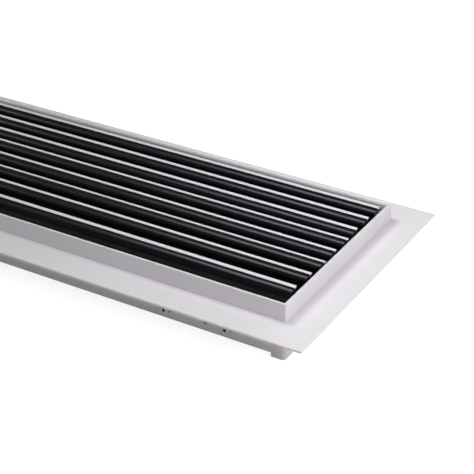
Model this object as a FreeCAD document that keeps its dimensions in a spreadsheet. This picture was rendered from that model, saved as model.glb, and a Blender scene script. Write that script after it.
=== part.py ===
import FreeCAD, Part
import math
import os
import Sketcher

# A ceiling grille that is built into the board before it is plastered, lying face up:
# a mitred frame with a flange, nylon corner keys, and curved blades that turn one by one.
# X runs along the blades, Y across them, Z out of the face. The origin is under the middle,
# on the plane that the four corner keys stand on. All sizes are in millimetres.

SIZES = [
    # The frame: one profile, mitred at the corners, whose rim ends in a thick, rounded land
    ("duct_length", 600.0),
    ("duct_width", 164.0),
    ("flange_width", 25.0),
    ("flange_thickness", 1.6),
    ("rim_height", 14.0),
    ("neck_depth", 28.0),
    ("wall_thickness", 1.6),
    ("land_width", 3.2),
    ("land_thickness", 6.0),
    ("land_round", 2.6),
    ("rib_reach", 2.6),
    ("rib_thickness", 1.2),
    ("channel_height", 11.6),
    ("rim_corner_radius", 1.2),
    ("edge_break", 0.3),
    # The corner keys
    ("foot_height", 3.5),
    ("post_width", 11.0),
    ("post_radius", 3.0),
    ("foot_break", 0.5),
    ("arm_length", 22.0),
    ("arm_thickness", 2.2),
    ("arm_clearance", 0.1),
    # The tie plates inside the neck, their screws and the hole for the fitter's own screw
    ("plate_inset", 71.5),
    ("plate_length", 65.0),
    ("plate_thickness", 2.0),
    ("screw_spacing", 50.0),
    ("screw_radius", 2.0),
    ("screw_head_radius", 3.9),
    ("screw_head_height", 2.2),
    ("screw_length", 6.0),
    ("screw_clearance", 0.1),
    ("fixing_hole_offset", 8.0),
    ("fixing_hole_radius", 1.8),
    # The blades: a leg with a hexagonal bore, a bend towards the far side and a lip
    ("first_pivot_inset", 18.0),
    ("blade_drop", 11.0),
    ("blade_rise", 19.0),
    ("blade_thickness", 1.3),
    ("lip_reach", 9.6),
    ("bend_radius", 4.8),
    ("blade_end_gap", 1.8),
    ("bore_flats", 2.4),
    ("bore_wall", 1.1),
    ("strip_width", 2.9),
    ("strip_thickness", 1.0),
    ("strip_edge_break", 0.25),
    ("rib_width", 0.7),
    ("rib_step", 0.2),
    ("groove_width", 0.6),
    ("groove_depth", 0.5),
    # The pivot combs, and the end pins that turn in them
    ("comb_thickness", 1.5),
    ("comb_clearance", 0.3),
    ("comb_hole_radius", 1.5),
    ("pin_clearance", 0.05),
    ("collar_flats", 4.4),
    ("collar_clearance", 0.3),
    ("spigot_length", 8.0),
    ("spigot_clearance", 0.04),
]

# How far each blade leans at rest, in degrees, from the far blade to the near one:
# a positive lean carries the white edge towards the far side.
LEANS = [-5.0, -6.0, -7.0, 6.0, 3.0, 11.0, 2.0, -10.0]

X_AXIS = FreeCAD.Vector(1, 0, 0)
NEAR_ZERO = 0.01

# How far a cutting shape runs past what it cuts, and the largest share of a wall
# that a broken edge or a rounding may take when the sizes change
OVERRUN = "1"
BREAK_SHARE = "0.33"
ROUND_SHARE = "0.9"


# Expressions that several sub-parts share

def cell(name):
    return f"Sizes.{name}"


def limited(name, wall, share):
    """A size that takes at most a share of the wall it is cut into."""
    return f"min({cell(name)}; {share} * {wall})"


HALF_LENGTH = f"{cell('duct_length')} / 2"
HALF_WIDTH = f"{cell('duct_width')} / 2"
NECK_BOTTOM = cell("foot_height")
FLANGE_TOP = f"({cell('foot_height')} + {cell('neck_depth')})"
FLANGE_UNDERSIDE = f"({FLANGE_TOP} - {cell('flange_thickness')})"
RIM_TOP = f"({FLANGE_TOP} + {cell('rim_height')})"
CHANNEL_BOTTOM = f"({NECK_BOTTOM} + {cell('rib_thickness')})"
CHANNEL_TOP = f"({CHANNEL_BOTTOM} + {cell('channel_height')})"
SHELF_TOP = f"({CHANNEL_TOP} + {cell('rib_thickness')})"
CHANNEL_MIDDLE = f"({CHANNEL_BOTTOM} + {cell('channel_height')} / 2)"
INNER_HALF_LENGTH = f"({HALF_LENGTH} - {cell('wall_thickness')})"
INNER_HALF_WIDTH = f"({HALF_WIDTH} - {cell('wall_thickness')})"
PIVOT_HEIGHT = f"({RIM_TOP} - {cell('blade_rise')})"
PIVOT_HALF_SPAN = f"({HALF_WIDTH} - {cell('first_pivot_inset')})"
BLADE_HALF_LENGTH = f"({HALF_LENGTH} - {cell('land_width')} - {cell('blade_end_gap')})"
COMB_INNER_FACE = f"({INNER_HALF_LENGTH} - {cell('comb_thickness')})"
PLATE_CENTRE = f"({HALF_LENGTH} - {cell('plate_inset')})"
SCREW_HOLE = f"({cell('screw_radius')} + {cell('screw_clearance')})"


# Helpers

def make_sheet(doc):
    """The driving sizes, one named cell each."""
    sheet = doc.addObject("Spreadsheet::Sheet", "Sizes")
    for row, (name, value) in enumerate(SIZES, start=1):
        sheet.set(f"A{row}", name)
        sheet.set(f"B{row}", str(value))
        sheet.setAlias(f"B{row}", name)
    for number, lean in enumerate(LEANS, start=1):
        row = len(SIZES) + number
        sheet.set(f"A{row}", f"lean_{number}")
        sheet.set(f"B{row}", str(lean))
        sheet.setAlias(f"B{row}", f"lean_{number}")
    doc.recompute()
    return sheet


def make_body(doc, label):
    body = doc.addObject("PartDesign::Body", "Body_" + label)
    body.Label = label
    return body


def make_sketch(body, plane, name, offset=None):
    """A sketch on one of the body's own planes; offset is an expression along its normal."""
    sketch = body.newObject("Sketcher::SketchObject", name)
    support = next(p for p in body.Origin.OriginFeatures if p.Role == plane)
    sketch.AttachmentSupport = [(support, "")]
    sketch.MapMode = "FlatFace"
    if offset is not None:
        sketch.setExpression("AttachmentOffset.Base.z", offset)
    return sketch


def bind_point(sketch, edge, end, across, up):
    """Holds one point of a sketch at two expressions measured from the sketch's origin."""
    for kind, expression in (("DistanceX", across), ("DistanceY", up)):
        number = sketch.addConstraint(Sketcher.Constraint(kind, -1, 1, edge, end, 1.0))
        sketch.setExpression(f"Constraints[{number}]", expression)


def add_polygon(sketch, corners):
    """A closed outline through corners, each an (across, up) pair of expressions."""
    first = sketch.GeometryCount
    count = len(corners)
    ring = [FreeCAD.Vector(math.cos(math.tau * k / count), math.sin(math.tau * k / count), 0)
            for k in range(count)]
    for k in range(count):
        sketch.addGeometry(Part.LineSegment(ring[k], ring[(k + 1) % count]), False)
    for k in range(count):
        following = first + (k + 1) % count
        sketch.addConstraint(Sketcher.Constraint("Coincident", first + k, 2, following, 1))
    for k, (across, up) in enumerate(corners):
        bind_point(sketch, first + k, 1, across, up)


def add_rectangle(sketch, left, right, bottom, top):
    add_polygon(sketch, [(left, bottom), (right, bottom), (right, top), (left, top)])


def add_frame_outline(sketch, half_length, half_width):
    """A rectangle about the sketch's origin."""
    add_rectangle(sketch, f"-{half_length}", half_length, f"-{half_width}", half_width)


def add_circle(sketch, across, up, radius):
    circle = Part.Circle(FreeCAD.Vector(1, 1, 0), FreeCAD.Vector(0, 0, 1), 1.0)
    edge = sketch.addGeometry(circle, False)
    number = sketch.addConstraint(Sketcher.Constraint("Radius", edge, 1.0))
    sketch.setExpression(f"Constraints[{number}]", radius)
    bind_point(sketch, edge, 3, across, up)


def add_hexagon(sketch, flats):
    """A hexagon about the sketch's origin, given the distance across its flats."""
    corner = f"{flats} / sqrt(3)"
    half = f"{flats} / 2"
    add_polygon(sketch, [(corner, "0"), (f"{corner} / 2", half), (f"-{corner} / 2", half),
                         (f"-{corner}", "0"), (f"-{corner} / 2", f"-{half}"),
                         (f"{corner} / 2", f"-{half}")])


def pad(body, sketch, length, symmetric=False, reverse=False):
    feature = body.newObject("PartDesign::Pad", "Pad")
    feature.Profile = sketch
    feature.setExpression("Length", length)
    feature.SideType = "Symmetric" if symmetric else "One side"
    feature.Reversed = reverse
    body.Document.recompute()
    return feature


def pocket(body, sketch, length, symmetric=False, reverse=False):
    """Cuts a sketch out of the body, and stops the build if it took nothing away."""
    before = body.Shape.Volume
    feature = body.newObject("PartDesign::Pocket", "Pocket")
    feature.Profile = sketch
    feature.setExpression("Length", length)
    feature.SideType = "Symmetric" if symmetric else "One side"
    feature.Reversed = reverse
    body.Document.recompute()
    if body.Shape.Volume > before - NEAR_ZERO:
        raise RuntimeError(f"{body.Label}: {sketch.Label} cut nothing")
    return feature


def dress_edges(body, kind, chosen, amount):
    """Rounds or breaks the edges of the body's last feature that chosen(edge) picks."""
    tip = body.Tip
    names = [f"Edge{k}" for k, edge in enumerate(tip.Shape.Edges, start=1) if chosen(edge)]
    if not names:
        raise RuntimeError(f"{body.Label}: no edge to dress")
    feature = body.newObject("PartDesign::" + kind, kind)
    feature.Base = (tip, names)
    feature.setExpression("Radius" if kind == "Fillet" else "Size", amount)
    body.Document.recompute()
    return feature


def fillet(body, chosen, radius):
    return dress_edges(body, "Fillet", chosen, radius)


def chamfer(body, chosen, width):
    return dress_edges(body, "Chamfer", chosen, width)


def runs_along(edge, axis):
    """True where a straight edge is parallel to the X, Y or Z axis, given as 0, 1 or 2."""
    if not isinstance(edge.Curve, Part.Line):
        return False
    return abs(edge.Curve.Direction[axis]) > 1 - NEAR_ZERO


def lies_at(edge, axis, value):
    """True where both ends of an edge have the same coordinate, value, on one axis."""
    return all(abs(vertex.Point[axis] - value) < NEAR_ZERO for vertex in edge.Vertexes)


# The frame

def frame_ring(doc, size):
    """The four frame profiles joined at their corners, before the mitres part them."""
    body = make_body(doc, "frame_ring")
    walls = make_sketch(body, "XY_Plane", "Walls", NECK_BOTTOM)
    add_frame_outline(walls, HALF_LENGTH, HALF_WIDTH)
    add_frame_outline(walls, INNER_HALF_LENGTH, INNER_HALF_WIDTH)
    pad(body, walls, f"{cell('neck_depth')} + {cell('rim_height')}")

    flange = make_sketch(body, "XY_Plane", "Flange", FLANGE_UNDERSIDE)
    add_frame_outline(flange, f"({HALF_LENGTH} + {cell('flange_width')})",
                      f"({HALF_WIDTH} + {cell('flange_width')})")
    add_frame_outline(flange, INNER_HALF_LENGTH, INNER_HALF_WIDTH)
    pad(body, flange, cell("flange_thickness"))

    land = make_sketch(body, "XY_Plane", "Land", f"{RIM_TOP} - {cell('land_thickness')}")
    add_frame_outline(land, HALF_LENGTH, HALF_WIDTH)
    add_frame_outline(land, f"({HALF_LENGTH} - {cell('land_width')})",
                      f"({HALF_WIDTH} - {cell('land_width')})")
    pad(body, land, cell("land_thickness"))

    for name, height in (("Foot_rib", NECK_BOTTOM), ("Shelf_rib", CHANNEL_TOP)):
        rib = make_sketch(body, "XY_Plane", name, height)
        add_frame_outline(rib, HALF_LENGTH, HALF_WIDTH)
        add_frame_outline(rib, f"({INNER_HALF_LENGTH} - {cell('rib_reach')})",
                          f"({INNER_HALF_WIDTH} - {cell('rib_reach')})")
        pad(body, rib, cell("rib_thickness"))

    round_frame_edges(body, size)
    notch_frame_corners(body)
    drill_frame(body)
    return body


def round_frame_edges(body, size):
    """Rounded rim corners and inner edge of the land, and broken edges on rim and flange."""
    flange_top = size["foot_height"] + size["neck_depth"]
    rim_top = flange_top + size["rim_height"]
    half_length = size["duct_length"] / 2
    half_width = size["duct_width"] / 2

    def rim_corner(edge):
        return (runs_along(edge, 2) and edge.BoundBox.ZMin > flange_top - NEAR_ZERO
                and abs(abs(edge.CenterOfMass.x) - half_length) < NEAR_ZERO
                and abs(abs(edge.CenterOfMass.y) - half_width) < NEAR_ZERO)

    def flange_edge(edge):
        outside = (abs(edge.CenterOfMass.x) > half_length + size["flange_width"] - NEAR_ZERO
                   or abs(edge.CenterOfMass.y) > half_width + size["flange_width"] - NEAR_ZERO)
        return outside and lies_at(edge, 2, flange_top)

    def inner_land_edge(edge):
        inside = (abs(edge.CenterOfMass.x) < half_length - size["land_width"] + NEAR_ZERO
                  and abs(edge.CenterOfMass.y) < half_width - size["land_width"] + NEAR_ZERO)
        return inside and lies_at(edge, 2, rim_top)

    def outer_land_edge(edge):
        return lies_at(edge, 2, rim_top) and not inner_land_edge(edge)

    fillet(body, rim_corner, cell("rim_corner_radius"))
    chamfer(body, outer_land_edge, limited("edge_break", cell("wall_thickness"), BREAK_SHARE))
    chamfer(body, flange_edge, limited("edge_break", cell("flange_thickness"), BREAK_SHARE))
    smaller_side = f"min({cell('land_width')}; {cell('land_thickness')})"
    fillet(body, inner_land_edge, limited("land_round", smaller_side, ROUND_SHARE))


def notch_frame_corners(body):
    """Opens each neck corner, below the flange, for the post of a corner key."""
    notches = make_sketch(body, "XY_Plane", "Corner_notches", NECK_BOTTOM)
    for side_x in ("-1", "1"):
        for side_y in ("-1", "1"):
            add_rectangle(notches,
                          f"{side_x} * ({HALF_LENGTH} - {cell('post_width')})",
                          f"{side_x} * ({HALF_LENGTH} + {OVERRUN})",
                          f"{side_y} * ({HALF_WIDTH} - {cell('post_width')})",
                          f"{side_y} * ({HALF_WIDTH} + {OVERRUN})")
    pocket(body, notches, f"{cell('neck_depth')} - {cell('flange_thickness')}", reverse=True)


def drill_frame(body):
    """Holes through both long walls, for the tie plates' screws and for the fitter's own."""
    through = f"{cell('duct_width')} + 2 * {OVERRUN}"
    holes = make_sketch(body, "XZ_Plane", "Long_wall_holes")
    for side in ("-1", "1"):
        middle = f"{side} * {PLATE_CENTRE}"
        for step in ("-0.5", "0.5"):
            add_circle(holes, f"{middle} + {step} * {cell('screw_spacing')}", CHANNEL_MIDDLE,
                       SCREW_HOLE)
        add_circle(holes, f"{middle} + {side} * {cell('fixing_hole_offset')}", CHANNEL_MIDDLE,
                   cell("fixing_hole_radius"))
    pocket(body, holes, through, symmetric=True)


def mitre_wedge(doc, name, along_x, side):
    """The prism that holds one side of the frame, cut at 45 degrees through both its corners."""
    body = make_body(doc, name)
    sketch = make_sketch(body, "XY_Plane", "Wedge")
    outer_x = f"({HALF_LENGTH} + {cell('flange_width')})"
    outer_y = f"({HALF_WIDTH} + {cell('flange_width')})"
    if along_x:
        add_polygon(sketch, [(f"-{outer_x}", f"{side} * {outer_y}"),
                             (outer_x, f"{side} * {outer_y}"),
                             (f"{outer_x} - {outer_y}", "0"),
                             (f"-{outer_x} + {outer_y}", "0")])
    else:
        add_polygon(sketch, [(f"{side} * {outer_x}", f"-{outer_y}"),
                             (f"{side} * {outer_x}", outer_y),
                             (f"{side} * ({outer_x} - {outer_y})", "0")])
    pad(body, sketch, f"{RIM_TOP} + {OVERRUN}")
    return body


def frame_rails(doc, size):
    """Four mitred lengths of the frame profile."""
    ring = frame_ring(doc, size)
    rails = []
    for label, along_x, side in (("near_rail", True, "-1"), ("far_rail", True, "1"),
                                 ("left_rail", False, "-1"), ("right_rail", False, "1")):
        rail = doc.addObject("Part::Common", "Cut_" + label)
        rail.Base = ring
        rail.Tool = mitre_wedge(doc, label + "_wedge", along_x, side)
        rail.Label = label
        rails.append(rail)
    return rails


# The corner keys

def corner_key(doc, label, side_x, side_y, size):
    """A nylon post that closes a neck corner, with an arm in each rail's channel."""
    body = make_body(doc, label)
    outer_x = f"{side_x} * {HALF_LENGTH}"
    outer_y = f"{side_y} * {HALF_WIDTH}"
    inner_x = f"{side_x} * ({HALF_LENGTH} - {cell('post_width')})"
    inner_y = f"{side_y} * ({HALF_WIDTH} - {cell('post_width')})"
    post = make_sketch(body, "XY_Plane", "Post")
    add_rectangle(post, inner_x, outer_x, inner_y, outer_y)
    pad(body, post, FLANGE_UNDERSIDE)

    corner_x = float(side_x) * size["duct_length"] / 2
    corner_y = float(side_y) * size["duct_width"] / 2

    def outer_corner(edge):
        return runs_along(edge, 2) and lies_at(edge, 0, corner_x) and lies_at(edge, 1, corner_y)

    fillet(body, outer_corner, limited("post_radius", cell("post_width"), ROUND_SHARE))
    chamfer(body, lambda edge: lies_at(edge, 2, 0), cell("foot_break"))

    arms = make_sketch(body, "XY_Plane", "Arms", f"{CHANNEL_BOTTOM} + {cell('arm_clearance')}")
    wall_x = f"{side_x} * ({INNER_HALF_LENGTH} - {cell('arm_clearance')})"
    wall_y = f"{side_y} * ({INNER_HALF_WIDTH} - {cell('arm_clearance')})"
    back_x = f"{side_x} * ({INNER_HALF_LENGTH} - {cell('arm_clearance')} - {cell('arm_thickness')})"
    back_y = f"{side_y} * ({INNER_HALF_WIDTH} - {cell('arm_clearance')} - {cell('arm_thickness')})"
    end_x = f"{side_x} * ({HALF_LENGTH} - {cell('post_width')} - {cell('arm_length')})"
    end_y = f"{side_y} * ({HALF_WIDTH} - {cell('post_width')} - {cell('arm_length')})"
    add_polygon(arms, [(wall_x, wall_y), (end_x, wall_y), (end_x, back_y),
                       (back_x, back_y), (back_x, end_y), (wall_x, end_y)])
    pad(body, arms, f"{cell('channel_height')} - 2 * {cell('arm_clearance')}")
    return body


# The tie plates and their screws

def tie_plate(doc, label, side_x, side_y):
    """A steel strip in the neck's channel that the wall screws bite into."""
    body = make_body(doc, label)
    face = make_sketch(body, "XZ_Plane", "Face", f"-{side_y} * {INNER_HALF_WIDTH}")
    middle = f"{side_x} * {PLATE_CENTRE}"
    add_rectangle(face, f"{middle} - {cell('plate_length')} / 2",
                  f"{middle} + {cell('plate_length')} / 2",
                  f"{CHANNEL_BOTTOM} + {cell('arm_clearance')}",
                  f"{CHANNEL_TOP} - {cell('arm_clearance')}")
    for step in ("-0.5", "0.5"):
        add_circle(face, f"{middle} + {step} * {cell('screw_spacing')}", CHANNEL_MIDDLE,
                   SCREW_HOLE)
    add_circle(face, f"{middle} + {side_x} * {cell('fixing_hole_offset')}", CHANNEL_MIDDLE,
               cell("fixing_hole_radius"))
    pad(body, face, cell("plate_thickness"), reverse=side_y == "-1")
    return body


def screw_places():
    """Where each tie plate screw goes along its wall, and which of the long walls it is in."""
    places = []
    for side_y in ("-1", "1"):
        for side_x in ("-1", "1"):
            for step in ("-0.5", "0.5"):
                x = f"{side_x} * {PLATE_CENTRE} + {step} * {cell('screw_spacing')}"
                places.append((x, side_y))
    return places


def round_bar(doc, name, radius, length, x, side_y, proud):
    """A cylinder that points into a long wall, from a height above the wall's outer face."""
    bar = doc.addObject("Part::Cylinder", name)
    bar.setExpression("Radius", radius)
    bar.setExpression("Height", length)
    turn = FreeCAD.Rotation(X_AXIS, 90 * float(side_y))
    bar.Placement = FreeCAD.Placement(FreeCAD.Vector(), turn)
    bar.setExpression("Placement.Base.x", x)
    bar.setExpression("Placement.Base.y", f"{side_y} * ({HALF_WIDTH} + {proud})")
    bar.setExpression("Placement.Base.z", CHANNEL_MIDDLE)
    return bar


def tie_plate_screws(doc):
    """Eight pan-head screws, each with its head on the wall and its shank through the plate."""
    screws = []
    for number, (x, side_y) in enumerate(screw_places(), start=1):
        head = round_bar(doc, f"Screw_head_{number}", cell("screw_head_radius"),
                         cell("screw_head_height"), x, side_y, cell("screw_head_height"))
        shank = round_bar(doc, f"Screw_shank_{number}", cell("screw_radius"),
                          cell("screw_length"), x, side_y, "0")
        screw = doc.addObject("Part::Fuse", f"Screw_{number}")
        screw.Base = head
        screw.Tool = shank
        screws.append(screw)
    group = doc.addObject("Part::Compound", "Screws")
    group.Links = screws
    group.Label = "tie_plate_screws"
    return group


# The blades

def pivot_across(number):
    """Where one blade's pivot lies across the grille, the far blade being number 1."""
    return f"{PIVOT_HALF_SPAN} - 2 * {PIVOT_HALF_SPAN} * {number - 1} / {len(LEANS) - 1}"


def set_on_pivot(body, number):
    """Puts a piece that was drawn about its own pivot on its place, with the blade's lean."""
    body.Placement = FreeCAD.Placement(FreeCAD.Vector(), FreeCAD.Rotation(X_AXIS, -1))
    body.setExpression("Placement.Rotation.Angle", f"-{cell(f'lean_{number}')}")
    body.setExpression("Placement.Base.y", pivot_across(number))
    body.setExpression("Placement.Base.z", PIVOT_HEIGHT)


LEG = f"{cell('blade_thickness')} / 2"
LIP_TIP = f"({cell('lip_reach')} - {cell('blade_thickness')} / 2)"
STRIP_SEAT = f"({cell('blade_rise')} - {cell('strip_thickness')})"
BLACK_TOP = f"({cell('blade_rise')} - {cell('rib_step')})"
LIP_UNDERSIDE = f"({STRIP_SEAT} - {cell('blade_thickness')})"
STRIP_NEAR = f"({LIP_TIP} - {cell('strip_width')})"
RIB_NEAR = f"({STRIP_NEAR} - {cell('rib_width')})"
GROOVE_NEAR = f"({RIB_NEAR} - {cell('groove_width')})"
BEND_OUTSIDE = limited("bend_radius", f"({GROOVE_NEAR} + {LEG})", ROUND_SHARE)


def blade(doc, number, size):
    """The black extrusion: leg, screw boss on the pivot, bend and lip, with the strip's seat."""
    body = make_body(doc, f"blade_{number}")
    section = make_sketch(body, "YZ_Plane", "Section")
    groove_floor = f"{BLACK_TOP} - {cell('groove_depth')}"
    add_polygon(section, [
        (f"-{LEG}", f"-{cell('blade_drop')}"),
        (LEG, f"-{cell('blade_drop')}"),
        (LEG, LIP_UNDERSIDE),
        (LIP_TIP, LIP_UNDERSIDE),
        (LIP_TIP, STRIP_SEAT),
        (STRIP_NEAR, STRIP_SEAT),
        (STRIP_NEAR, BLACK_TOP),
        (RIB_NEAR, BLACK_TOP),
        (RIB_NEAR, groove_floor),
        (GROOVE_NEAR, groove_floor),
        (GROOVE_NEAR, BLACK_TOP),
        (f"-{LEG}", BLACK_TOP),
    ])
    length = f"2 * {BLADE_HALF_LENGTH}"
    pad(body, section, length, symmetric=True)

    leg = size["blade_thickness"] / 2
    lip_underside = size["blade_rise"] - size["strip_thickness"] - size["blade_thickness"]
    black_top = size["blade_rise"] - size["rib_step"]

    def outer_bend(edge):
        return runs_along(edge, 0) and lies_at(edge, 1, -leg) and lies_at(edge, 2, black_top)

    def inner_bend(edge):
        return runs_along(edge, 0) and lies_at(edge, 1, leg) and lies_at(edge, 2, lip_underside)

    def lower_edge(edge):
        return runs_along(edge, 0) and lies_at(edge, 2, -size["blade_drop"])

    fillet(body, outer_bend, BEND_OUTSIDE)
    fillet(body, inner_bend, f"{BEND_OUTSIDE} - {cell('blade_thickness')}")
    chamfer(body, lower_edge, limited("edge_break", cell("blade_thickness"), BREAK_SHARE))

    boss = make_sketch(body, "YZ_Plane", "Boss")
    add_hexagon(boss, f"({cell('bore_flats')} + 2 * {cell('bore_wall')})")
    pad(body, boss, length, symmetric=True)
    bore = make_sketch(body, "YZ_Plane", "Bore")
    add_hexagon(bore, cell("bore_flats"))
    pocket(body, bore, f"{length} + 2 * {OVERRUN}", symmetric=True)
    set_on_pivot(body, number)
    return body


def blade_strip(doc, number, size):
    """The white strip that lies in the blade's lip and faces the room."""
    body = make_body(doc, f"blade_strip_{number}")
    section = make_sketch(body, "YZ_Plane", "Section")
    add_rectangle(section, STRIP_NEAR, LIP_TIP, STRIP_SEAT, cell("blade_rise"))
    pad(body, section, f"2 * {BLADE_HALF_LENGTH}", symmetric=True)

    def upper_edge(edge):
        return runs_along(edge, 0) and lies_at(edge, 2, size["blade_rise"])

    chamfer(body, upper_edge, limited("strip_edge_break", cell("strip_thickness"), BREAK_SHARE))
    set_on_pivot(body, number)
    return body


def blade_pin(doc, label, number, side):
    """A nylon end pin: hexagonal spigot and collar, and a round journal that turns in the comb."""
    body = make_body(doc, label)
    blade_end = BLADE_HALF_LENGTH
    collar_end = f"({COMB_INNER_FACE} - {cell('collar_clearance')})"
    pin_end = f"({INNER_HALF_LENGTH} - {cell('collar_clearance')})"
    inner_end = f"({blade_end} - {cell('spigot_length')})"
    reverse = side == "-1"

    spigot = make_sketch(body, "YZ_Plane", "Spigot", f"{side} * {inner_end}")
    add_hexagon(spigot, f"({cell('bore_flats')} - 2 * {cell('spigot_clearance')})")
    pad(body, spigot, cell("spigot_length"), reverse=reverse)

    collar = make_sketch(body, "YZ_Plane", "Collar", f"{side} * {blade_end}")
    add_hexagon(collar, cell("collar_flats"))
    pad(body, collar, f"{collar_end} - {blade_end}", reverse=reverse)

    journal = make_sketch(body, "YZ_Plane", "Journal", f"{side} * {collar_end}")
    add_circle(journal, "0", "0", f"{cell('comb_hole_radius')} - {cell('pin_clearance')}")
    pad(body, journal, f"{pin_end} - {collar_end}", reverse=reverse)
    set_on_pivot(body, number)
    return body


# The pivot combs

def pivot_comb(doc, label, side):
    """The strip that carries the blades' pins, held in an end rail between its rib and its land."""
    body = make_body(doc, label)
    face = make_sketch(body, "YZ_Plane", "Face", f"{side} * {INNER_HALF_LENGTH}")
    half = f"({HALF_WIDTH} - {cell('post_width')} - {cell('comb_clearance')})"
    top = f"{RIM_TOP} - {cell('land_thickness')} - {cell('comb_clearance')}"
    add_rectangle(face, f"-{half}", half, SHELF_TOP, top)
    pad(body, face, cell("comb_thickness"), reverse=side == "1")

    first = make_sketch(body, "YZ_Plane", "First_pivot_hole", f"{side} * {INNER_HALF_LENGTH}")
    add_circle(first, f"-{PIVOT_HALF_SPAN}", PIVOT_HEIGHT, cell("comb_hole_radius"))
    cut = pocket(body, first, f"2 * ({cell('comb_thickness')} + {OVERRUN})", symmetric=True)
    row = body.newObject("PartDesign::LinearPattern", "Pivot_holes")
    row.Originals = [cut]
    row.Direction = (first, ["H_Axis"])
    row.Mode = "Extent"
    row.setExpression("Length", f"2 * {PIVOT_HALF_SPAN}")
    row.Occurrences = len(LEANS)
    body.Tip = row
    doc.recompute()
    return body


# The whole grille

def build(doc):
    """Every sub-part, in the order it would be put together."""
    size = dict(SIZES)
    make_sheet(doc)
    parts = frame_rails(doc, size)
    for label_y, side_y in (("near", "-1"), ("far", "1")):
        for label_x, side_x in (("left", "-1"), ("right", "1")):
            parts.append(corner_key(doc, f"corner_key_{label_y}_{label_x}", side_x, side_y, size))
            parts.append(tie_plate(doc, f"tie_plate_{label_y}_{label_x}", side_x, side_y))
    parts.append(tie_plate_screws(doc))
    for label, side in (("left", "-1"), ("right", "1")):
        parts.append(pivot_comb(doc, f"pivot_comb_{label}", side))
    for number in range(1, len(LEANS) + 1):
        parts.append(blade(doc, number, size))
        parts.append(blade_strip(doc, number, size))
        for label, side in (("left", "-1"), ("right", "1")):
            parts.append(blade_pin(doc, f"blade_pin_{number}_{label}", number, side))
    doc.recompute()
    return parts


def check(doc, parts):
    """Stops the build where an object failed or a sub-part has no sound shape."""
    for thing in doc.Objects:
        if "Invalid" in thing.State or "Error" in thing.State:
            raise RuntimeError(f"{thing.Label} failed: {thing.State}")
    for part in parts:
        if part.Shape.isNull() or not part.Shape.isValid() or not part.Shape.Solids:
            raise RuntimeError(f"{part.Label} has no valid solid")


def write(parts):
    os.makedirs("parts", exist_ok=True)
    for part in parts:
        part.Shape.exportStep(os.path.join("parts", part.Label + ".step"))


document = FreeCAD.newDocument("CeilingGrille")
all_parts = build(document)
check(document, all_parts)
write(all_parts)
print(len(all_parts), "sub-parts written")
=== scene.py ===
import math
from itertools import product

import bmesh
import bpy
from mathutils import Matrix, Vector


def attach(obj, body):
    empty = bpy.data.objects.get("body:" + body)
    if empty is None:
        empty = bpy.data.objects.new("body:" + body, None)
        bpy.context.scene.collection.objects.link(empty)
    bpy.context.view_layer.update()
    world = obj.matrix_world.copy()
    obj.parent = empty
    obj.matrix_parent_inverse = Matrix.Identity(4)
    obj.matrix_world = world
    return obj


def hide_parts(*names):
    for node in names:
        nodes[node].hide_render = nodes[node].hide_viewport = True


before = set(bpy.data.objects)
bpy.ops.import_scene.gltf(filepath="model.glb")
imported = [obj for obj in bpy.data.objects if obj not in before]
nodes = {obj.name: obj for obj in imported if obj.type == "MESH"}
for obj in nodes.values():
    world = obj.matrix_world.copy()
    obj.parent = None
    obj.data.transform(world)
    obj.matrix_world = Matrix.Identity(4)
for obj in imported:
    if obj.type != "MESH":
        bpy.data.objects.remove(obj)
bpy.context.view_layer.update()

MM = 0.001

BLADES = range(1, 9)
SIDES = ("left", "right")
RAILS = ("near_rail", "far_rail", "left_rail", "right_rail")
CORNERS = [f"{row}_{side}" for row in ("near", "far") for side in SIDES]

# Sizes that the CAD source gives, in metres
HALF_LENGTH = 300 * MM
HALF_WIDTH = 82 * MM
FLANGE_TOP = 31.5 * MM
SCREW_HEIGHT = 10.5 * MM
SCREW_FROM_END = 71.5 * MM
SCREW_SPACING = 50 * MM

# The screw's outline in millimetres, as (radius, depth) with the seat of its head at depth 0
HEAD_HEIGHT = 2.2
HEAD_OUTLINE = [
    (0, -HEAD_HEIGHT), (1.9, -2.17), (2.8, -2.02), (3.4, -1.7),
    (3.75, -1.2), (3.88, -0.6), (3.9, 0),
]
THREAD_CREST = 1.98
THREAD_ROOT = 1.65
THREAD_START = 0.35
THREAD_HALF_PITCH = 0.45
THREAD_RINGS = 12
TIP_RADIUS = 1.2
SHANK_LENGTH = 6.0
SCREW_SIDES = 48

# The cross recess in millimetres; the shares say how much of a wing is left at its bottom
WING_LENGTH = 4.6
WING_THICKNESS = 1.2
WING_DEPTH = 1.8
LENGTH_SHARE = 0.4
THICKNESS_SHARE = 0.55
CORE_RADIUS = 1.5
CORE_BOTTOM_RADIUS = 0.7
CORE_LENGTH = 4
CORE_MIDDLE_FROM_SEAT = 2.1
CORE_SIDES = 16

# Points of the screw that lie this close are one, in metres
WELD_DISTANCE = 0.001 * MM

# How far each screw is driven round, in degrees
FIRST_TURN = 20
TURN_STEP = 37

# Where a Map Range node starts from: most of a noise's values lie between these two
FROM_NOISE = {"From Min": 0.3, "From Max": 0.7}

# The floor, in metres: it stays just clear of the feet, and glows at this strength
FLOOR_HALF_SIZE = 30
FLOOR_DROP = 0.1 * MM
FLOOR_GLOW = 0.8

# The photograph's camera, solved from the frame's edges, in degrees, metres and pixels
CAMERA_AZIMUTH = 30.410
CAMERA_ELEVATION = 30.037
CAMERA_ROLL = 0.248
CAMERA_TARGET = (0.21399, -0.00026, FLANGE_TOP)
CAMERA_DISTANCE = 1.0557
FOCAL_LENGTH_PX = 1434.35
PICTURE_WIDTH_PX = 474
SENSOR_WIDTH_MM = 36
CLIP_START = 0.05


# Helpers

def linear(code):
    """A colour written as sRGB hex, as the linear values that a shader takes."""
    channels = [int(code[i:i + 2], 16) / 255 for i in (1, 3, 5)]
    return [c / 12.92 if c <= 0.04045 else ((c + 0.055) / 1.055) ** 2.4 for c in channels] + [1.0]


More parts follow.
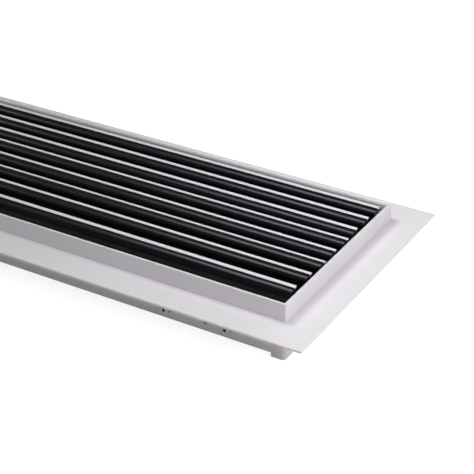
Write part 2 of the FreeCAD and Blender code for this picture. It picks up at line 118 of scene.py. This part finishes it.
def per_metre(size_mm):
    """A texture's scale for features of this real size."""
    return 1000 / size_mm


def add_node(tree, kind, inputs=None, **settings):
    """Adds one node with its settings; an input is a value or another node's output."""
    made = tree.nodes.new(kind)
    for name, value in settings.items():
        setattr(made, name, value)
    for name, value in (inputs or {}).items():
        if isinstance(value, bpy.types.NodeSocket):
            tree.links.new(value, made.inputs[name])
        else:
            made.inputs[name].default_value = value
    return made


def start_material(name):
    """An empty node material, its tree, and the object's own coordinates."""
    material = bpy.data.materials.new(name)
    material.use_nodes = True
    tree = material.node_tree
    tree.nodes.clear()
    place = add_node(tree, "ShaderNodeTexCoord").outputs["Object"]
    return material, tree, place


def close_material(tree, shader):
    """Ends a material with its shader."""
    add_node(tree, "ShaderNodeOutputMaterial", {"Surface": shader.outputs[0]})


def finished_mesh(shape, name):
    """A mesh with what is in a bmesh, which is then freed."""
    mesh = bpy.data.meshes.new(name)
    shape.to_mesh(mesh)
    shape.free()
    return mesh


def add_object(name, data):
    """Puts a new object into the scene, at the origin."""
    thing = bpy.data.objects.new(name, data)
    bpy.context.scene.collection.objects.link(thing)
    return thing


# Materials

def white_powder_coat():
    """Sprayed and baked polyester on aluminium: even satin white with a very fine orange peel."""
    material, tree, place = start_material("white_powder_coat")
    clouds = add_node(tree, "ShaderNodeTexNoise", {
        "Vector": place, "Scale": per_metre(60), "Detail": 3}).outputs["Fac"]
    peel = add_node(tree, "ShaderNodeTexNoise", {
        "Vector": place, "Scale": per_metre(0.9), "Detail": 2}).outputs["Fac"]
    tone = add_node(tree, "ShaderNodeMapRange", {
        "Value": clouds, **FROM_NOISE, "To Min": 0, "To Max": 1})
    colour = add_node(tree, "ShaderNodeMix", {
        "Factor": tone.outputs["Result"], "A": linear("#E6E3E7"), "B": linear("#EBE8EC"),
    }, data_type="RGBA")
    roughness = add_node(tree, "ShaderNodeMapRange", {
        "Value": peel, **FROM_NOISE, "To Min": 0.42, "To Max": 0.52})
    relief = add_node(tree, "ShaderNodeBump", {
        "Height": peel, "Strength": 0.35, "Distance": 0.02 * MM})
    shader = add_node(tree, "ShaderNodeBsdfPrincipled", {
        "Base Color": colour.outputs["Result"],
        "Roughness": roughness.outputs["Result"],
        "Normal": relief.outputs["Normal"],
        "IOR": 1.5,
    })
    close_material(tree, shader)
    return material


def milky_nylon():
    """Unfilled moulded nylon: warm grey white, slightly see-through, with a fine satin grain."""
    material, tree, place = start_material("milky_nylon")
    clouds = add_node(tree, "ShaderNodeTexNoise", {
        "Vector": place, "Scale": per_metre(7), "Detail": 3}).outputs["Fac"]
    # The mould's real grain is finer: this is as coarse as it needs to show close up
    grain = add_node(tree, "ShaderNodeTexNoise", {
        "Vector": place, "Scale": per_metre(0.25), "Detail": 2}).outputs["Fac"]
    tone = add_node(tree, "ShaderNodeMapRange", {
        "Value": clouds, **FROM_NOISE, "To Min": 0, "To Max": 1})
    colour = add_node(tree, "ShaderNodeMix", {
        "Factor": tone.outputs["Result"], "A": linear("#E0DBD5"), "B": linear("#E9E4DE"),
    }, data_type="RGBA")
    roughness = add_node(tree, "ShaderNodeMapRange", {
        "Value": grain, **FROM_NOISE, "To Min": 0.44, "To Max": 0.58})
    relief = add_node(tree, "ShaderNodeBump", {
        "Height": grain, "Strength": 0.3, "Distance": 0.02 * MM})
    shader = add_node(tree, "ShaderNodeBsdfPrincipled", {
        "Base Color": colour.outputs["Result"],
        "Roughness": roughness.outputs["Result"],
        "Normal": relief.outputs["Normal"],
        "Subsurface Weight": 0.15,
        "Subsurface Radius": [1.5 * MM, 1.4 * MM, 1.2 * MM],
        "Subsurface Scale": 1.0,
        "IOR": 1.53,
    })
    close_material(tree, shader)
    return material


def black_gloss_enamel():
    """Gloss stove enamel on an extrusion: deep violet black, with faint die lines along it."""
    material, tree, place = start_material("black_gloss_enamel")
    drawn_out = add_node(tree, "ShaderNodeMapping", {"Vector": place, "Scale": [0.004, 1, 1]})
    # Real die lines are finer: these are as coarse as they need to show
    lines = add_node(tree, "ShaderNodeTexNoise", {
        "Vector": drawn_out.outputs["Vector"], "Scale": per_metre(0.5), "Detail": 4,
    }).outputs["Fac"]
    film = add_node(tree, "ShaderNodeTexNoise", {
        "Vector": place, "Scale": per_metre(12), "Detail": 2}).outputs["Fac"]
    tone = add_node(tree, "ShaderNodeMapRange", {
        "Value": lines, **FROM_NOISE, "To Min": 0, "To Max": 1})
    colour = add_node(tree, "ShaderNodeMix", {
        "Factor": tone.outputs["Result"], "A": linear("#040306"), "B": linear("#080709"),
    }, data_type="RGBA")
    roughness = add_node(tree, "ShaderNodeMapRange", {
        "Value": film, **FROM_NOISE, "To Min": 0.3, "To Max": 0.36})
    relief = add_node(tree, "ShaderNodeBump", {
        "Height": lines, "Strength": 0.1, "Distance": 0.01 * MM})
    shader = add_node(tree, "ShaderNodeBsdfPrincipled", {
        "Base Color": colour.outputs["Result"],
        "Roughness": roughness.outputs["Result"],
        "Normal": relief.outputs["Normal"],
        "Specular IOR Level": 0.35,
        "Specular Tint": linear("#F7EEFF"),
        "IOR": 1.46,
    })
    close_material(tree, shader)
    return material


def white_vinyl():
    """Rigid white vinyl strip: cooler and smoother than the frame, with drawn lines along it."""
    material, tree, place = start_material("white_vinyl")
    drawn_out = add_node(tree, "ShaderNodeMapping", {"Vector": place, "Scale": [0.006, 1, 1]})
    # Real drawing lines are finer: these are as coarse as they need to show
    lines = add_node(tree, "ShaderNodeTexNoise", {
        "Vector": drawn_out.outputs["Vector"], "Scale": per_metre(0.4), "Detail": 3,
    }).outputs["Fac"]
    tone = add_node(tree, "ShaderNodeMapRange", {
        "Value": lines, **FROM_NOISE, "To Min": 0, "To Max": 1})
    colour = add_node(tree, "ShaderNodeMix", {
        "Factor": tone.outputs["Result"], "A": linear("#E3E2E8"), "B": linear("#EBEAF0"),
    }, data_type="RGBA")
    roughness = add_node(tree, "ShaderNodeMapRange", {
        "Value": lines, **FROM_NOISE, "To Min": 0.34, "To Max": 0.42})
    relief = add_node(tree, "ShaderNodeBump", {
        "Height": lines, "Strength": 0.15, "Distance": 0.01 * MM})
    shader = add_node(tree, "ShaderNodeBsdfPrincipled", {
        "Base Color": colour.outputs["Result"],
        "Roughness": roughness.outputs["Result"],
        "Normal": relief.outputs["Normal"],
        "IOR": 1.53,
    })
    close_material(tree, shader)
    return material


def zinc_plated_steel(name, cloud_mm):
    """Zinc over steel: cool grey metal, a little cloudy."""
    material, tree, place = start_material(name)
    clouds = add_node(tree, "ShaderNodeTexNoise", {
        "Vector": place, "Scale": per_metre(cloud_mm), "Detail": 4}).outputs["Fac"]
    tone = add_node(tree, "ShaderNodeMapRange", {
        "Value": clouds, **FROM_NOISE, "To Min": 0, "To Max": 1})
    colour = add_node(tree, "ShaderNodeMix", {
        "Factor": tone.outputs["Result"], "A": linear("#747577"), "B": linear("#949597"),
    }, data_type="RGBA")
    roughness = add_node(tree, "ShaderNodeMapRange", {
        "Value": clouds, **FROM_NOISE, "To Min": 0.26, "To Max": 0.42})
    relief = add_node(tree, "ShaderNodeBump", {
        "Height": clouds, "Strength": 0.15, "Distance": 0.01 * MM})
    shader = add_node(tree, "ShaderNodeBsdfPrincipled", {
        "Base Color": colour.outputs["Result"],
        "Metallic": 1.0,
        "Roughness": roughness.outputs["Result"],
        "Normal": relief.outputs["Normal"],
    })
    close_material(tree, shader)
    return material


def black_nylon():
    """Carbon-filled moulded nylon: matt black with a fine grain."""
    material, tree, place = start_material("black_nylon")
    # The mould's real grain is finer: this is as coarse as it needs to show close up
    grain = add_node(tree, "ShaderNodeTexNoise", {
        "Vector": place, "Scale": per_metre(0.3), "Detail": 3}).outputs["Fac"]
    tone = add_node(tree, "ShaderNodeMapRange", {
        "Value": grain, **FROM_NOISE, "To Min": 0, "To Max": 1})
    colour = add_node(tree, "ShaderNodeMix", {
        "Factor": tone.outputs["Result"], "A": linear("#121213"), "B": linear("#1B1B1D"),
    }, data_type="RGBA")
    roughness = add_node(tree, "ShaderNodeMapRange", {
        "Value": grain, **FROM_NOISE, "To Min": 0.5, "To Max": 0.64})
    relief = add_node(tree, "ShaderNodeBump", {
        "Height": grain, "Strength": 0.3, "Distance": 0.02 * MM})
    shader = add_node(tree, "ShaderNodeBsdfPrincipled", {
        "Base Color": colour.outputs["Result"],
        "Roughness": roughness.outputs["Result"],
        "Normal": relief.outputs["Normal"],
        "IOR": 1.53,
    })
    close_material(tree, shader)
    return material


def white_floor():
    """A pale matt floor that looks white and still takes the grille's shadow.

    It glows only where the camera, a reflection or a clear piece shows it, so it lights nothing.
    """
    material, tree, _ = start_material("white_floor")
    path = add_node(tree, "ShaderNodeLightPath")
    seen = path.outputs["Is Camera Ray"]
    for ray in ("Is Glossy Ray", "Is Transmission Ray"):
        seen = add_node(tree, "ShaderNodeMath", {
            0: seen, 1: path.outputs[ray]}, operation="MAXIMUM").outputs[0]
    glow = add_node(tree, "ShaderNodeMath", {0: seen, 1: FLOOR_GLOW}, operation="MULTIPLY")
    shader = add_node(tree, "ShaderNodeBsdfPrincipled", {
        "Base Color": linear("#DADADA"),
        "Roughness": 0.9,
        "Specular IOR Level": 0.0,
        "Emission Color": linear("#FFFFFF"),
        "Emission Strength": glow.outputs[0],
    })
    close_material(tree, shader)
    return material


def finish_node(name, material):
    """Gives a CAD node its finish in every one of its slots."""
    for slot in nodes[name].material_slots:
        slot.material = material
    if not nodes[name].material_slots:
        nodes[name].data.materials.append(material)


# The screws

def screw_mesh():
    """A pan-head screw that points along +Y, with the seat of its head at the origin."""
    thread = [(THREAD_CREST if k % 2 else THREAD_ROOT, THREAD_START + THREAD_HALF_PITCH * k)
              for k in range(THREAD_RINGS)]
    tip = [(TIP_RADIUS, SHANK_LENGTH), (0, SHANK_LENGTH)]
    outline = [*HEAD_OUTLINE, (THREAD_ROOT, 0), *thread, *tip]
    shape = bmesh.new()
    points = [shape.verts.new((radius * MM, depth * MM, 0)) for radius, depth in outline]
    edges = [shape.edges.new(pair) for pair in zip(points, points[1:])]
    bmesh.ops.spin(shape, geom=points + edges, cent=(0, 0, 0), axis=(0, 1, 0),
                   angle=math.tau, steps=SCREW_SIDES, use_merge=True)
    bmesh.ops.remove_doubles(shape, verts=shape.verts, dist=WELD_DISTANCE)
    bmesh.ops.recalc_face_normals(shape, faces=shape.faces)
    return finished_mesh(shape, "screw")


def recess_mesh():
    """The tapered cross that the driver fits, with its round middle, in the top of the head."""
    shape = bmesh.new()
    for turn in (0, math.pi / 2):
        wing = bmesh.ops.create_cube(shape, size=1)["verts"]
        size = (WING_LENGTH * MM, 2 * WING_DEPTH * MM, WING_THICKNESS * MM)
        bmesh.ops.scale(shape, vec=size, verts=wing)
        for vert in wing:
            if vert.co.y > 0:
                vert.co.x *= LENGTH_SHARE
                vert.co.z *= THICKNESS_SHARE
        bmesh.ops.rotate(shape, cent=(0, 0, 0), matrix=Matrix.Rotation(turn, 3, "Y"), verts=wing)
    bmesh.ops.translate(shape, vec=(0, -HEAD_HEIGHT * MM, 0), verts=shape.verts)
    core = bmesh.ops.create_cone(shape, cap_ends=True, segments=CORE_SIDES,
                                 radius1=CORE_RADIUS * MM, radius2=CORE_BOTTOM_RADIUS * MM,
                                 depth=CORE_LENGTH * MM)["verts"]
    inwards = Matrix.Rotation(-math.pi / 2, 3, "X")
    bmesh.ops.rotate(shape, cent=(0, 0, 0), matrix=inwards, verts=core)
    bmesh.ops.translate(shape, vec=(0, -CORE_MIDDLE_FROM_SEAT * MM, 0), verts=core)
    bmesh.ops.recalc_face_normals(shape, faces=shape.faces)
    return finished_mesh(shape, "recess")


def cut_screw():
    """One screw with its recess cut out, as a finished mesh."""
    screw = add_object("screw", screw_mesh())
    recess = add_object("recess", recess_mesh())
    cut = screw.modifiers.new("recess", "BOOLEAN")
    cut.operation = "DIFFERENCE"
    cut.solver = "EXACT"
    cut.use_self = True
    cut.object = recess
    bpy.context.view_layer.update()
    depsgraph = bpy.context.evaluated_depsgraph_get()
    mesh = bpy.data.meshes.new_from_object(screw.evaluated_get(depsgraph))
    for thing in (screw, recess):
        bpy.data.objects.remove(thing)
    return mesh


def tie_plate_screws(material):
    """The eight screws, each turned its own way, in one piece."""
    screw = cut_screw()
    shape = bmesh.new()
    for number, (side_y, side_x, step) in enumerate(product((-1, 1), (-1, 1), (-0.5, 0.5))):
        start = len(shape.verts)
        shape.from_mesh(screw)
        shape.verts.ensure_lookup_table()
        driven = Matrix.Rotation(math.radians(TURN_STEP * number + FIRST_TURN), 4, "Y")
        facing = Matrix.Rotation(math.pi if side_y > 0 else 0, 4, "Z")
        x = side_x * (HALF_LENGTH - SCREW_FROM_END) + step * SCREW_SPACING
        seat = Matrix.Translation((x, side_y * HALF_WIDTH, SCREW_HEIGHT))
        bmesh.ops.transform(shape, matrix=seat @ facing @ driven, verts=shape.verts[start:])
    mesh = finished_mesh(shape, "pan_head_screws")
    mesh.materials.append(material)
    for face in mesh.polygons:
        face.use_smooth = False
    piece = add_object("pan_head_screws", mesh)
    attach(piece, "frame")
    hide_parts("tie_plate_screws")


# Floor, light and camera

def add_floor():
    """The plain floor that the grille lies on, face up."""
    shape = bmesh.new()
    bmesh.ops.create_grid(shape, x_segments=1, y_segments=1, size=FLOOR_HALF_SIZE)
    mesh = finished_mesh(shape, "floor")
    mesh.materials.append(white_floor())
    floor = add_object("floor", mesh)
    floor.location.z = -FLOOR_DROP


def add_world(strength):
    """A soft even light from all round."""
    world = bpy.data.worlds.new("soft_room")
    world.use_nodes = True
    tree = world.node_tree
    tree.nodes.clear()
    light = add_node(tree, "ShaderNodeBackground", {
        "Color": linear("#FFFFFF"), "Strength": strength})
    add_node(tree, "ShaderNodeOutputWorld", {"Surface": light.outputs[0]})
    bpy.context.scene.world = world


def add_panel_light(name, place, aim, size, power, spread_angle):
    """A white soft box, size wide and high, that faces a point; spread_angle is its grid's."""
    lamp = bpy.data.lights.new(name, "AREA")
    lamp.shape = "RECTANGLE"
    lamp.size, lamp.size_y = size
    lamp.spread = math.radians(spread_angle)
    lamp.energy = power
    holder = add_object(name, lamp)
    holder.location = place
    holder.rotation_euler = (Vector(aim) - Vector(place)).to_track_quat("-Z", "Y").to_euler()


def add_far_light(name, direction, width, strength):
    """A broad soft light from far off, the same all along the grille; width is its angle."""
    lamp = bpy.data.lights.new(name, "SUN")
    lamp.angle = math.radians(width)
    lamp.energy = strength
    holder = add_object(name, lamp)
    holder.rotation_euler = Vector(direction).to_track_quat("Z", "Y").to_euler()


def add_camera():
    """The photograph's view: from the right and above, rather close."""
    azimuth = math.radians(CAMERA_AZIMUTH)
    elevation = math.radians(CAMERA_ELEVATION)
    roll = math.radians(CAMERA_ROLL)
    back = Vector((math.sin(azimuth) * math.cos(elevation),
                   -math.cos(azimuth) * math.cos(elevation), math.sin(elevation)))
    right = Vector((0, 0, 1)).cross(back).normalized()
    up = back.cross(right)
    across = math.cos(roll) * right + math.sin(roll) * up
    upward = math.cos(roll) * up - math.sin(roll) * right
    turn = Matrix((across, upward, back)).transposed().to_4x4()
    lens = bpy.data.cameras.new("camera")
    lens.sensor_width = SENSOR_WIDTH_MM
    lens.lens = FOCAL_LENGTH_PX / PICTURE_WIDTH_PX * lens.sensor_width
    lens.clip_start = CLIP_START
    camera = add_object("camera", lens)
    place = Vector(CAMERA_TARGET) + CAMERA_DISTANCE * back
    camera.matrix_world = Matrix.Translation(place) @ turn
    bpy.context.scene.camera = camera


# The finishes

powder_coat = white_powder_coat()
nylon = milky_nylon()
enamel = black_gloss_enamel()
vinyl = white_vinyl()
plate_zinc = zinc_plated_steel("zinc_plated_strip", cloud_mm=5)
screw_zinc = zinc_plated_steel("zinc_plated_screw", cloud_mm=1.5)
dark_nylon = black_nylon()

for rail in RAILS:
    finish_node(rail, powder_coat)
for corner in CORNERS:
    finish_node(f"corner_key_{corner}", nylon)
    finish_node(f"tie_plate_{corner}", plate_zinc)
for side in SIDES:
    finish_node(f"pivot_comb_{side}", dark_nylon)
for blade in BLADES:
    finish_node(f"blade_{blade}", enamel)
    finish_node(f"blade_strip_{blade}", vinyl)
    for side in SIDES:
        finish_node(f"blade_pin_{blade}_{side}", dark_nylon)
finish_node("tie_plate_screws", screw_zinc)
tie_plate_screws(screw_zinc)

# The scene round the grille: the key lights its near and right sides, the lamp overhead its face,
# and the other two the end and the side that the photograph doesn't show
add_floor()
add_world(strength=0.16)
add_panel_light("key", place=(1.0, -0.3, 0.55), aim=(0.25, 0, 0.03), size=(0.5, 0.5),
                power=3.8, spread_angle=180)
add_panel_light("overhead", place=(0.0, 0.0, 0.88), aim=(0.83, 0.1, 0.03), size=(0.35, 0.45),
                power=2.15, spread_angle=100)
add_panel_light("left_end", place=(-0.85, -0.2, 0.65), aim=(-0.6, 0, 0.03), size=(0.5, 0.5),
                power=1.5, spread_angle=70)
add_far_light("behind", direction=(0.3, 0.8, 0.35), width=60, strength=0.8)
add_camera()
bpy.context.scene.view_settings.view_transform = "Standard"
